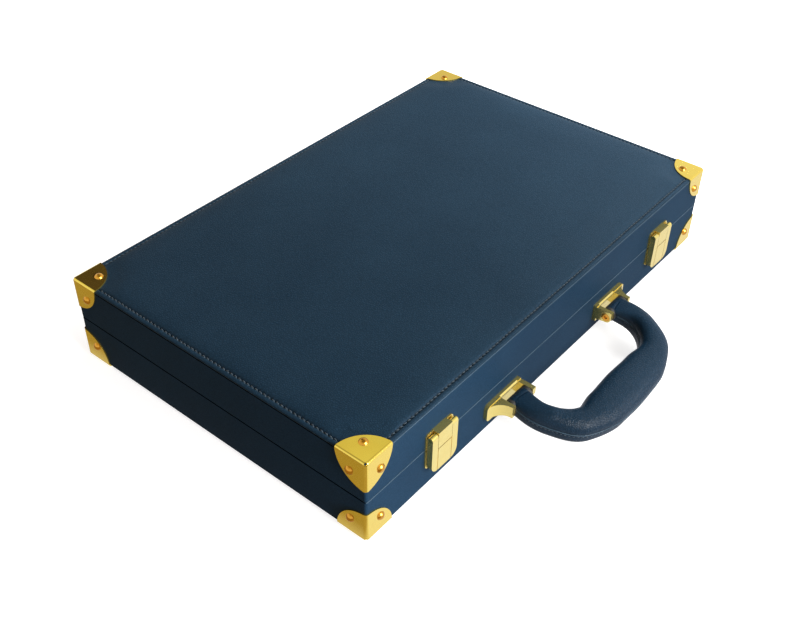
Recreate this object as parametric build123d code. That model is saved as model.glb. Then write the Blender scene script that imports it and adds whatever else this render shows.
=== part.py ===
from build123d import *
import os
from math import cos, radians, sin, sqrt, tan

os.makedirs("parts", exist_ok=True)

# A backgammon set in a briefcase: a base half and a lid half of the same size, hinged along the
# back so that the lid swings half a turn and both halves lie flat as one board.
# Millimetres, +Z up. +X runs along the hinge, -Y points to the handle. The origin is the centre
# of the sheet that covers the underside, so a flat table stands one nail head below it.

# The closed case, over its leatherette
case_length = 380.0
case_depth = 243.0
half_height = 30.7
case_corner_radius = 1.6
case_edge_radius = 0.8
seam_gap = 0.3
rim_edge_radius = 0.6

# Sheets and boards
skin = 0.8
wall = 8.0
panel = 4.0
field_board = 2.0
underside_sheet_gauge = 0.8
underside_inset = 2.2
underside_notch_clearance = 2.0

# Padded top
cover_crown = 2.0
stitch_inset = 3.5
stitch_valley_depth = 0.5
stitch_valley_width = 0.8
crown_rise = ((7.5, 0.5), (14.0, 0.82), (30.0, 0.96), (60.0, 1.0))
petal_room = 0.3

# Playing field
tray_width = 39.0
divider = 6.0
divider_drop = 0.35
point_length = 148.0
point_gap = 2.0
point_end_gap = 1.0
inlay = 0.6
points_per_side = 6

# Brass corners and their nails
brass_gauge = 0.8
petal_radius = 22.0
nail_inset = 12.1
nail_head_radius = 2.9
nail_head_height = 1.9
nail_shank_radius = 0.8
nail_length = 5.0
hole_clearance = 0.05
corner_vent_radius = 1.0
overrun = 1.0

# Hinges
hinge_inset = 70.0
hinge_length = 50.0
hinge_leaf = 1.2
hinge_leaf_width = 8.0
hinge_barrel_radius = 2.9
hinge_axis_out = 3.2
hinge_pin_radius = 1.2
hinge_pin_fit = 0.06
hinge_knuckle_gap = 0.3
hinge_knuckles = 5
hinge_pin_head_radius = 2.0
hinge_pin_head = 1.0
hinge_screw_pitch = 17.0
hinge_screws_per_leaf = 3
hinge_screw_in = 4.6
wood_screw_radius = 1.3
wood_screw_head_radius = 2.4
wood_screw_head = 0.8
wood_screw_length = 12.0

# Latches: a body on the lid, a flap on its pin, a catch on the base
latch_inset = 62.7
latch_width = 24.6
latch_plate = 1.0
latch_plate_rise = 12.3
latch_plate_drop = 15.3
latch_plate_chamfer = 1.5
latch_seam_clear = 0.5
latch_block_width = 12.6
latch_block_rise = 12.5
latch_block_low = 0.5
latch_front = 5.3
flap_width = 23.6
flap_side_gap = 0.3
flap_back_gap = 0.3
flap_pin_rise = 9.5
flap_ear_radius = 2.0
flap_bottom_drop = 17.2
flap_corner_radius = 6.0
flap_tongue = 2.0
flap_tongue_gap = 0.6
flap_pin_radius = 0.9
flap_pin_fit = 0.06
flap_groove = 0.5
hook_width = 11.0
hook_reach = 1.7
hook_low_drop = 9.5
hook_height = 1.2
lip_height = 1.6
lip_gap = 0.3
lip_reach = 1.7
rivet_radius = 1.0
rivet_head_radius = 1.9
rivet_head = 0.5
rivet_length = 6.0
rivet_spread = 8.8
body_rivet_rise = 4.5
catch_rivet_drop = 11.5

# Handle brackets
bracket_centre = 58.3
bracket_gap = 18.7
bracket_plate = 2.7
bracket_outer_margin = 13.5
bracket_top = 22.3
bracket_bottom = 10.0
bracket_plate_chamfer = 0.9
bracket_end_round = 3.0
bracket_ear_drop = 0.7
bracket_ear_inner = 3.4
bracket_ear_tip = 3.0
bracket_flare_sag = 2.3
ear_slope = 7.0
bracket_boss_radius = 4.0
bracket_screw_radius = 1.6
bracket_screw_head_radius = 3.4
bracket_screw_head = 1.8
bracket_screw_rise = 16.0
pivot_out = 10.0
pivot_height = 17.0
pivot_radius = 2.0
pivot_fit = 0.06
pivot_head_radius = 3.0
pivot_head = 1.6
pivot_head_clearance = 0.15
pivot_blind_depth = 2.2
pivot_socket_radius = 1.3
pivot_socket_depth = 0.9

# Handle: half of its centreline as (across, out from the pivots), then widths along it
handle_arm_bulge = (59.4, 15.8)
handle_shoulder = (55.1, 27.1)
handle_corner = (45.5, 37.9)
handle_bar_end = (27.3, 42.2)
handle_reach = 42.5
handle_widths = (27.4, 25.9, 19.0, 14.6, 16.4)
handle_band_depth = 7.6
handle_dome_height = 8.6
handle_eye_radius = 4.8
handle_eye_gap = 0.3
handle_seam_rise = 1.6
handle_droop = 10.9
handle_strap_depth = 2.4
handle_strap_margin = 3.0
handle_band_chamfer = 0.8
handle_end_share = 0.125
handle_stations = 20

# Playing pieces
checker_radius = 14.0
checker_thickness = 7.5
checker_edge = 0.6
checker_gap = 0.3
checkers_per_side = 15
loose_gap = 0.1
die_size = 14.0
die_corner = 1.6
die_spacing = 16.0
cube_size = 25.0
cube_corner = 2.0
piece_spacing = 6.0
cup_radius = 20.0
cup_wall = 2.5
cup_length = 85.0
cup_spacing = 60.0
cup_side_gap = 2.0

# Levels that follow: the lid mirrors the base about the seam
half_x = case_length / 2
half_y = case_depth / 2
seam = brass_gauge + half_height
rim = seam - seam_gap / 2
lid_top = seam + half_height
lid_floor = brass_gauge + 2 * case_edge_radius
base_floor = brass_gauge
wall_x = half_x - skin - wall
wall_y = half_y - skin - wall
inner_x = wall_x - skin
inner_y = wall_y - skin
divider_front = -inner_y + tray_width
divider_back = divider_front + divider
hinge_offset = half_x - hinge_inset
hinge_y = half_y + hinge_axis_out
latch_offset = half_x - latch_inset
front = -half_y
pivot_y = front - pivot_out
ear_x_out = -bracket_centre - bracket_gap / 2
ear_x_in = -bracket_centre + bracket_gap / 2
plate_left = ear_x_out - bracket_outer_margin
plate_right = ear_x_in + bracket_ear_inner
ear_tip_y = pivot_y - bracket_boss_radius
ear_top = bracket_top - bracket_ear_drop
flap_pin_y = front - latch_plate - flap_back_gap - flap_ear_radius
flap_pin_z = seam + flap_pin_rise


def block(x0, x1, y0, y1, z0, z1):
    size = Box(x1 - x0, y1 - y0, z1 - z0)
    return Pos((x0 + x1) / 2, (y0 + y1) / 2, (z0 + z1) / 2) * size


def case_block(grow, low, high, low_edge=0.0, high_edge=0.0):
    """The case's outline, grown or shrunk, between two levels, with its edges rounded."""
    solid = block(-half_x - grow, half_x + grow, -half_y - grow, half_y + grow, low, high)
    solid = fillet(solid.edges().filter_by(Axis.Z), case_corner_radius + grow)
    if low_edge > 0:
        solid = fillet(solid.faces().sort_by(Axis.Z)[0].edges(), low_edge)
    if high_edge > 0:
        solid = fillet(solid.faces().sort_by(Axis.Z)[-1].edges(), high_edge)
    return solid


def rod(radius, start, direction, length):
    """A cylinder from a point along a direction."""
    plane = Plane(origin=start, z_dir=direction)
    centred = Cylinder(radius, length, align=(Align.CENTER, Align.CENTER, Align.MIN))
    return plane.location * centred


def to_lid(shape):
    return shape.mirror(Plane.XY.offset(seam))


def mirror_x(shape):
    return shape.mirror(Plane.YZ)


def mirror_y(shape):
    return shape.mirror(Plane.XZ)


def group(shapes):
    """Several separate solids in one node."""
    solids = []
    for shape in shapes:
        solids.extend(shape.solids())
    return Compound(solids)


# Nails: a domed head on the brass and a shank into the wood
def nail_seats():
    """Head centre and outward direction of the 12 nails of the base half."""
    x = half_x + brass_gauge - nail_inset
    y = half_y + brass_gauge - nail_inset
    z = nail_inset
    seats = []
    for sx in (-1, 1):
        for sy in (-1, 1):
            seats.append(((sx * x, sy * y, 0), (0, 0, -1)))
            seats.append(((sx * x, sy * (half_y + brass_gauge), z), (0, sy, 0)))
            seats.append(((sx * (half_x + brass_gauge), sy * y, z), (sx, 0, 0)))
    return seats


def nail(seat, direction):
    cap_radius = (nail_head_radius**2 + nail_head_height**2) / (2 * nail_head_height)
    ball = Pos(0, 0, nail_head_height - cap_radius) * Sphere(cap_radius)
    above = Pos(0, 0, cap_radius) * Box(4 * cap_radius, 4 * cap_radius, 2 * cap_radius)
    shank = Cylinder(nail_shank_radius, nail_length, align=(Align.CENTER, Align.CENTER, Align.MAX))
    plane = Plane(origin=seat, z_dir=direction)
    return plane.location * ((ball & above) + shank)


def nail_holes():
    holes = []
    for seat, direction in nail_seats():
        inward = tuple(-c for c in direction)
        outside = tuple(s + overrun * c for s, c in zip(seat, direction))
        depth = nail_length + overrun + hole_clearance
        holes.append(rod(nail_shank_radius + hole_clearance, outside, inward, depth))
    return holes


# Fasteners and the holes that they need: a hole is the same shape, grown by the clearance
def flush_fastener(seat, direction, head_radius, head, shank_radius, length, hole):
    """A flat head sunk level with its seat, or its hole, which also runs out past the seat."""
    grow = hole_clearance if hole else 0.0
    out = overrun if hole else 0.0
    start = tuple(s - out * d for s, d in zip(seat, direction))
    shape = rod(head_radius + grow, start, direction, head + out)
    return shape + rod(shank_radius + grow, seat, direction, length + grow)


def rivet(x, z, hole):
    seat = (x, front - latch_plate, z)
    return flush_fastener(seat, (0, 1, 0), rivet_head_radius, rivet_head, rivet_radius, rivet_length, hole)


def catch_rivets(hole):
    return [rivet(x, seam - catch_rivet_drop, hole) for x in rivet_places()]


def body_rivets(hole):
    return [rivet(x, seam + body_rivet_rise, hole) for x in rivet_places()]


def rivet_places():
    return [side * latch_offset + way * rivet_spread for side in (-1, 1) for way in (-1, 1)]


def hinge_screws(hole):
    """The base leaves' screws, their heads level with the leaves."""
    middle = (hinge_screws_per_leaf - 1) / 2
    screws = []
    for side in (-1, 1):
        for i in range(hinge_screws_per_leaf):
            seat = (side * hinge_offset + (i - middle) * hinge_screw_pitch, half_y - hinge_screw_in, rim)
            sizes = (wood_screw_head_radius, wood_screw_head, wood_screw_radius, wood_screw_length)
            screws.append(flush_fastener(seat, (0, 0, -1), *sizes, hole))
    return screws


def bracket_screws(hole):
    """From inside the front wall, through it, into both brackets' plates."""
    quarter = (plate_right - plate_left) / 4
    grow = hole_clearance if hole else 0.0
    reach = half_y + bracket_plate / 2 - inner_y + grow
    screws = []
    for x in (plate_left + quarter, plate_right - quarter):
        for side in (-1, 1):
            seat = (side * x, -inner_y, bracket_screw_rise)
            shank = rod(bracket_screw_radius + grow, seat, (0, -1, 0), reach)
            head = rod(bracket_screw_head_radius, seat, (0, 1, 0), bracket_screw_head)
            screws.append(shank if hole else shank + head)
    return screws


def leaf_mortise(side):
    x = side * hinge_offset
    reach = hinge_length / 2 + hole_clearance
    y0 = half_y - hinge_leaf_width - hole_clearance
    low = rim - hinge_leaf - hole_clearance
    return block(x - reach, x + reach, y0, half_y + overrun, low, rim + overrun)


# The two wooden halves and their leatherette, made in the base's place
def wall_ring(floor):
    ring = case_block(-skin, floor + skin, rim - skin)
    return ring - block(-wall_x, wall_x, -wall_y, wall_y, floor, rim)


def half_walls(floor, cuts):
    ring = wall_ring(floor) - cuts
    whole = half_x + overrun
    return {
        "front_wall": ring & block(-whole, whole, -half_y, -wall_y, 0, seam),
        "back_wall": ring & block(-whole, whole, wall_y, half_y, 0, seam),
        "left_wall": ring & block(-half_x, -wall_x, -wall_y, wall_y, 0, seam),
        "right_wall": ring & block(wall_x, half_x, -wall_y, wall_y, 0, seam),
    }


def half_panel(floor, cuts):
    return block(-wall_x, wall_x, -wall_y, wall_y, floor + skin, floor + skin + panel) - cuts


def half_wrap(floor, low_edge, cuts):
    """Leatherette over the outside, the rim, the inside of the walls and the underside."""
    outer = case_block(0, floor, rim, low_edge, rim_edge_radius)
    boards = wall_ring(floor) + half_panel(floor, [])
    hollow = block(-inner_x, inner_x, -inner_y, inner_y, floor + skin + panel, rim + overrun)
    return outer - boards - hollow - cuts


def half_field(floor):
    low = floor + skin + panel
    return block(-inner_x, inner_x, -inner_y, inner_y, low, low + field_board)


def half_divider(floor):
    low = floor + skin + panel + field_board
    return block(-inner_x, inner_x, divider_front, divider_back, low, rim - divider_drop)


def half_points(floor, shade):
    """The inlaid points of one shade: every second one, staggered between the two ends."""
    low = floor + skin + panel + field_board
    pitch = (inner_y - divider_back) / points_per_side
    base = inner_x - point_end_gap
    tip = base - point_length
    shapes = []
    for end in (-1, 1):
        for i in range(points_per_side):
            if (i + (end > 0)) % 2 == shade:
                y = divider_back + (i + 0.5) * pitch
                half = (pitch - point_gap) / 2
                corners = [(end * base, y - half), (end * tip, y), (end * base, y + half)]
                shape = extrude(make_face(Polyline(*corners, close=True)), inlay)
                shapes.append(Pos(0, 0, low) * shape)
    return group(shapes)


def underside_sheet():
    x = half_x - underside_inset
    y = half_y - underside_inset
    sheet = block(-x, x, -y, y, 0, underside_sheet_gauge)
    radius = petal_radius + underside_notch_clearance
    for sx in (-1, 1):
        for sy in (-1, 1):
            centre = (sx * (half_x + brass_gauge), sy * (half_y + brass_gauge), -overrun)
            sheet -= rod(radius, centre, (0, 0, 1), underside_sheet_gauge + 2 * overrun)
    return sheet


# Brass corners: three quarter-round petals folded over a corner, one nail in each
def brass_corner(holes):
    g = brass_gauge
    shell = case_block(g, 0, seam, case_edge_radius + g)
    shell -= case_block(0, g, seam + overrun, case_edge_radius)
    x = -half_x - g
    y = -half_y - g
    fold = case_edge_radius + g
    bend = case_corner_radius + g
    petals = rod(petal_radius, (x, y, -overrun), (0, 0, 1), fold + overrun)
    petals += rod(petal_radius, (x, y - overrun, 0), (0, 1, 0), bend + overrun)
    petals += rod(petal_radius, (x - overrun, y, 0), (1, 0, 0), bend + overrun)
    vent = Pos(x + corner_vent_radius, y + corner_vent_radius, g) * Sphere(corner_vent_radius)
    return ((shell & petals) - vent - holes).solid()


# The padded top: a soft cushion on card, under a stitched leatherette cover
def crowned(edge, lower, holes):
    """A crowned block on a given edge profile, pressed flat under the brass petals."""
    profile = list(edge)
    profile.append((stitch_inset - stitch_valley_width / 2, -stitch_valley_depth / 2 - lower))
    profile.append((stitch_inset, -stitch_valley_depth - lower))
    profile.append((stitch_inset + stitch_valley_width, -stitch_valley_depth / 4 - lower))
    for inset, share in crown_rise:
        profile.append((inset, cover_crown * share - lower))
    outlines = []
    for inset, height in profile:
        width = case_length - 2 * inset
        depth = case_depth - 2 * inset
        outline = RectangleRounded(width, depth, case_corner_radius + inset / 2)
        outlines.append(Pos(0, 0, lid_top + height) * outline)
    shape = loft(outlines, ruled=True)
    for sx in (-1, 1):
        for sy in (-1, 1):
            centre = (sx * (half_x + brass_gauge), sy * (half_y + brass_gauge), lid_top - lower)
            shape -= rod(petal_radius + petal_room, centre, (0, 0, 1), 2 * cover_crown)
    return shape - holes


def top_pad(holes):
    inset = skin + case_edge_radius
    return crowned([(inset, -2 * case_edge_radius), (inset, -skin)], skin, holes)


def top_cover(holes):
    """The cover, whose edge is turned under all round with a full roll."""
    roll = case_edge_radius
    eased = roll * (1 - sqrt(0.5))
    edge = [(roll, -2 * roll), (eased, eased - 2 * roll), (0.0, -roll), (eased, -eased), (roll, 0.0)]
    return crowned(edge, 0.0, holes) - top_pad([])


# Hinges: leaves let into both rims, a barrel behind the back, a headed pin
def hinge_leaf_half(side, which, holes):
    """The base's (0) or the lid's (1) leaf with its knuckles, both drawn in the base's place."""
    x = side * hinge_offset
    half = hinge_length / 2
    low = rim - hinge_leaf
    step = hinge_length / hinge_knuckles
    length = step - hinge_knuckle_gap
    shape = block(x - half, x + half, half_y - hinge_leaf_width, half_y, low, rim)
    for i in range(which, hinge_knuckles, 2):
        x0 = x - half + i * step + hinge_knuckle_gap / 2
        shape += block(x0, x0 + length, half_y - hinge_leaf, hinge_y, low, rim)
        shape += rod(hinge_barrel_radius, (x0, hinge_y, seam), (1, 0, 0), length)
    start = (x - half - overrun, hinge_y, seam)
    bore = rod(hinge_pin_radius + hinge_pin_fit, start, (1, 0, 0), hinge_length + 2 * overrun)
    return shape - bore - holes


def hinge_pin(side):
    x = side * hinge_offset - hinge_length / 2
    shape = rod(hinge_pin_radius, (x, hinge_y, seam), (1, 0, 0), hinge_length)
    for end in (x - hinge_pin_head, x + hinge_length):
        shape += rod(hinge_pin_head_radius, (end, hinge_y, seam), (1, 0, 0), hinge_pin_head)
    return shape


# Latches
def plate_outline(x, low, high, chamfer_top):
    half = latch_width / 2
    plate = block(x - half, x + half, front - latch_plate, front, low, high)
    edges = plate.edges().filter_by(Axis.Y)
    chosen = edges.group_by(Axis.Z)[-1 if chamfer_top else 0]
    return chamfer(chosen, latch_plate_chamfer)


def latch_body(x):
    plate = plate_outline(x, seam + latch_seam_clear, seam + latch_plate_rise, True)
    half = latch_block_width / 2
    low = seam + latch_block_low
    nose = block(x - half, x + half, front - latch_front, front, low, seam + latch_block_rise)
    return plate + nose - flap_pin_bore(x) - body_rivets(True)


def flap_pin_bore(x):
    start = (x - latch_width / 2, flap_pin_y, flap_pin_z)
    return rod(flap_pin_radius + flap_pin_fit, start, (1, 0, 0), latch_width)


def latch_pin(x):
    return rod(flap_pin_radius, (x - flap_width / 2, flap_pin_y, flap_pin_z), (1, 0, 0), flap_width)


def latch_flap(x):
    """Two arms beside the body's block, joined below it by a tongue with a lip behind."""
    rear = front - latch_plate - flap_back_gap
    face = front - latch_front
    half = flap_width / 2
    arm_in = latch_block_width / 2 + flap_side_gap
    bottom = seam - flap_bottom_drop
    lower = block(x - half, x + half, face, rear, bottom, flap_pin_z)
    lower = fillet(lower.edges().filter_by(Axis.Y).group_by(Axis.Z)[0], flap_corner_radius)
    ears = rod(flap_ear_radius, (x - half, flap_pin_y, flap_pin_z), (1, 0, 0), flap_width)
    shape = lower + ears
    tongue_rear = face + flap_tongue
    tongue_top = seam + latch_block_low - flap_tongue_gap
    low = bottom - overrun
    high = flap_pin_z + flap_ear_radius + overrun
    shape -= block(x - arm_in, x + arm_in, tongue_rear, rear + overrun, low, tongue_top)
    shape -= block(x - arm_in, x + arm_in, face - overrun, rear + overrun, tongue_top, high)
    for gx in (x - arm_in, x + arm_in - flap_groove):
        shape -= block(gx, gx + flap_groove, face - overrun, face + flap_groove, low, high)
    lip_top = seam - hook_low_drop - lip_gap
    lip_half = hook_width / 2
    lip_rear = tongue_rear + lip_reach
    shape += block(x - lip_half, x + lip_half, tongue_rear, lip_rear, lip_top - lip_height, lip_top)
    return shape - flap_pin_bore(x)


def latch_catch(x):
    plate = plate_outline(x, seam - latch_plate_drop, seam - latch_seam_clear, False)
    low = seam - hook_low_drop
    half = hook_width / 2
    tip = front - latch_plate - hook_reach
    hook = block(x - half, x + half, tip, front - latch_plate / 2, low, low + hook_height)
    return plate + hook - catch_rivets(True)


# Handle brackets: a plate and two ears, the outer ear flared to the plate's rounded end
def ear(x0, x1):
    """An ear's side shape: flat on top, square at its tip, rising gently from the wall below."""
    slope = radians(ear_slope)
    root = front - bracket_plate / 2
    low_y = pivot_y + bracket_boss_radius * sin(slope)
    low = pivot_height - bracket_boss_radius * cos(slope)
    corners = [(root, low - (root - low_y) * tan(slope)), (low_y, low)]
    corners += [(ear_tip_y, low), (ear_tip_y, ear_top), (root, ear_top)]
    return extrude(Plane.YZ.offset(x0) * make_face(Polyline(*corners, close=True)), x1 - x0)


def inner_ear():
    """Rounded below its tip, where the pivot's head sits."""
    boss = rod(bracket_boss_radius, (ear_x_in, pivot_y, pivot_height), (1, 0, 0), bracket_ear_inner)
    nose = block(ear_x_in, plate_right, ear_tip_y, pivot_y, bracket_bottom, pivot_height)
    return (ear(ear_x_in, plate_right) - nose) + boss


def outer_flare():
    """Plan shape of the outer ear, wide at the wall and thin at its tip."""
    tip_left = ear_x_out - bracket_ear_tip
    plate_y = front - bracket_plate
    mid_x = (plate_left + tip_left) / 2 + bracket_flare_sag
    mid_y = (plate_y + ear_tip_y) / 2 + bracket_flare_sag
    root_y = front - bracket_plate / 2
    curve = ThreePointArc((plate_left, plate_y), (mid_x, mid_y), (tip_left, ear_tip_y))
    corners = [(tip_left, ear_tip_y), (ear_x_out, ear_tip_y), (ear_x_out, root_y), (plate_left, root_y)]
    rest = Polyline(*corners, (plate_left, plate_y))
    return extrude(make_face(Curve() + curve + rest), half_height)


def plate_bevel():
    """The bright chamfer along the plate's upper edge between the ears."""
    face = front - bracket_plate
    low = bracket_top - bracket_plate_chamfer
    corners = [(face, low), (face + bracket_plate_chamfer, bracket_top), (face, bracket_top)]
    triangle = make_face(Polyline(*corners, close=True))
    return extrude(Plane.YZ.offset(ear_x_out) * triangle, bracket_gap)


def handle_bracket():
    """The left bracket."""
    outline = block(plate_left, plate_right, ear_tip_y, front, bracket_bottom, bracket_top)
    outline = fillet(outline.edges().filter_by(Axis.Y).group_by(Axis.X)[0], bracket_end_round)
    plate_y = front - bracket_plate
    plate = outline & block(plate_left, plate_right, plate_y, front, bracket_bottom, bracket_top)
    outer_ear = ear(plate_left, ear_x_out) & outer_flare() & outline
    shape = plate - plate_bevel() + inner_ear() + outer_ear
    bore_radius = pivot_radius + pivot_fit
    start = (ear_x_out - pivot_blind_depth, pivot_y, pivot_height)
    shape -= rod(bore_radius, start, (1, 0, 0), pivot_blind_depth + bracket_gap + bracket_ear_inner)
    seat = (ear_x_in + bracket_ear_inner - pivot_head, pivot_y, pivot_height)
    shape -= rod(pivot_head_radius + pivot_head_clearance, seat, (1, 0, 0), pivot_head + overrun)
    return shape - bracket_screws(True)


def pivot_screw():
    """The left pivot: its shaft crosses the gap, its head sits in the inner ear."""
    start = ear_x_out - pivot_blind_depth + pivot_fit
    head_x = ear_x_in + bracket_ear_inner - pivot_head
    shaft = rod(pivot_radius, (start, pivot_y, pivot_height), (1, 0, 0), head_x - start)
    head = rod(pivot_head_radius, (head_x, pivot_y, pivot_height), (1, 0, 0), pivot_head - pivot_fit)
    socket_x = head_x + pivot_head - pivot_fit - pivot_socket_depth
    socket = rod(pivot_socket_radius, (socket_x, pivot_y, pivot_height), (1, 0, 0), pivot_head)
    return shaft + head - socket


# Handle: drawn level about its pivots, then drooped until it hangs just clear of the table
def handle_path():
    half = [(bracket_centre, 0.0), handle_arm_bulge, handle_shoulder, handle_corner, handle_bar_end]
    left = [(-x, -out) for x, out in half]
    right = [(x, -out) for x, out in reversed(half)]
    return Spline(*left, (0.0, -handle_reach), *right)


def handle_width(t):
    """Width at a share of the path, eased between the named widths."""
    from_middle = abs(2 * t - 1) * (len(handle_widths) - 1)
    i = min(int(from_middle), len(handle_widths) - 2)
    share = from_middle - i
    eased = share * share * (3 - 2 * share)
    return handle_widths[i] + (handle_widths[i + 1] - handle_widths[i]) * eased


def handle_sections(draw):
    path = handle_path()
    sections = []
    for i in range(handle_stations + 1):
        t = i / handle_stations
        along = path % t
        across = Vector(0, 0, 1).cross(along)
        origin = path @ t + Vector(0, 0, handle_seam_rise)
        plane = Plane(origin=origin, x_dir=across, z_dir=along)
        near_end = min(1.0, min(t, 1 - t) / handle_end_share)
        sections.append(plane * draw(handle_width(t) / 2, near_end))
    return sections


def dome_face(half, near_end):
    end = handle_eye_radius - handle_seam_rise
    top = end + (handle_dome_height - end) * near_end
    side = sqrt(0.5)
    left = ThreePointArc((-half, 0), (-half * side, top * side), (0, top))
    right = ThreePointArc((0, top), (half * side, top * side), (half, 0))
    return make_face(Curve() + left + right + Line((half, 0), (-half, 0)))


def band_face(half, near_end):
    end = handle_eye_radius + handle_seam_rise
    low = -end - (handle_band_depth - end) * near_end
    c = handle_band_chamfer
    points = [(-half, 0), (half, 0), (half, low + c), (half - c, low), (c - half, low), (-half, low + c)]
    return make_face(Polyline(*points, close=True))


def strap_face(half, near_end):
    edge = half - handle_strap_margin
    points = [(-edge, 0), (edge, 0), (edge, -handle_strap_depth), (-edge, -handle_strap_depth)]
    return make_face(Polyline(*points, close=True))


def handle_eyes(radius, half):
    return [rod(radius, (side * bracket_centre - half, 0, 0), (1, 0, 0), 2 * half) for side in (-1, 1)]


def seat_handle(shape):
    """Droops the level handle about its pivots and carries it to them."""
    return Pos(0, pivot_y, pivot_height) * Rot(handle_droop, 0, 0) * shape


def handle_parts():
    eyes = handle_eyes(handle_eye_radius, bracket_gap / 2 - handle_eye_gap)
    strap = loft(handle_sections(strap_face), ruled=True)
    band = loft(handle_sections(band_face), ruled=True) - strap - eyes
    dome = loft(handle_sections(dome_face), ruled=True) - eyes
    bores = handle_eyes(pivot_radius + pivot_fit, bracket_gap / 2)
    core = strap
    for eye in eyes:
        core = core + eye
    return {
        "handle_core": seat_handle(core - bores),
        "handle_band": seat_handle(biggest(band)),
        "handle_grip": seat_handle(biggest(dome)),
    }


def biggest(shape):
    """The main solid, without slivers left inside the eyes."""
    return max(shape.solids(), key=lambda solid: solid.volume)


# Playing pieces, kept in the base: they rest on its playing field
field_top = base_floor + skin + panel + field_board


def checker(x, y, z):
    disc = Cylinder(checker_radius, checker_thickness)
    disc = fillet(disc.edges(), checker_edge)
    return Pos(x, y, z) * Rot(0, 90, 0) * disc


def checker_row(colour):
    """The light (0) or dark (1) checkers, on edge in one half of the tray's row."""
    pitch = checker_thickness + checker_gap
    y = (-inner_y + divider_front) / 2
    z = field_top + checker_radius + loose_gap
    row = []
    for i in range(checkers_per_side):
        x = (i + 0.5) * pitch
        row.append(checker(x if colour else -x, y, z))
    return group(row)


def row_end():
    return checkers_per_side * (checker_thickness + checker_gap)


def dice():
    y = (-inner_y + divider_front) / 2
    z = field_top + die_size / 2 + loose_gap
    first = -row_end() - piece_spacing - die_size / 2
    pieces = []
    for i in range(2):
        for way in (-1, 1):
            die = fillet(Box(die_size, die_size, die_size).edges(), die_corner)
            pieces.append(Pos(first - i * die_spacing, y + way * die_spacing / 2, z) * die)
    return group(pieces)


def doubling_cube():
    y = (-inner_y + divider_front) / 2
    x = row_end() + piece_spacing + cube_size / 2
    cube = fillet(Box(cube_size, cube_size, cube_size).edges(), cube_corner)
    return Pos(x, y, field_top + cube_size / 2 + loose_gap) * cube


def dice_cups():
    """Two cups lying on the field beside the tray's divider, mouths outward."""
    y = divider_back + cup_side_gap + cup_radius
    z = field_top + inlay + cup_radius + loose_gap
    cups = []
    for side in (-1, 1):
        start = (side * (cup_spacing - cup_length / 2), y, z)
        outer = rod(cup_radius, start, (side, 0, 0), cup_length)
        inner_start = (side * (cup_spacing - cup_length / 2 + cup_wall), y, z)
        cups.append(outer - rod(cup_radius - cup_wall, inner_start, (side, 0, 0), cup_length))
    return group(cups)


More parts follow.
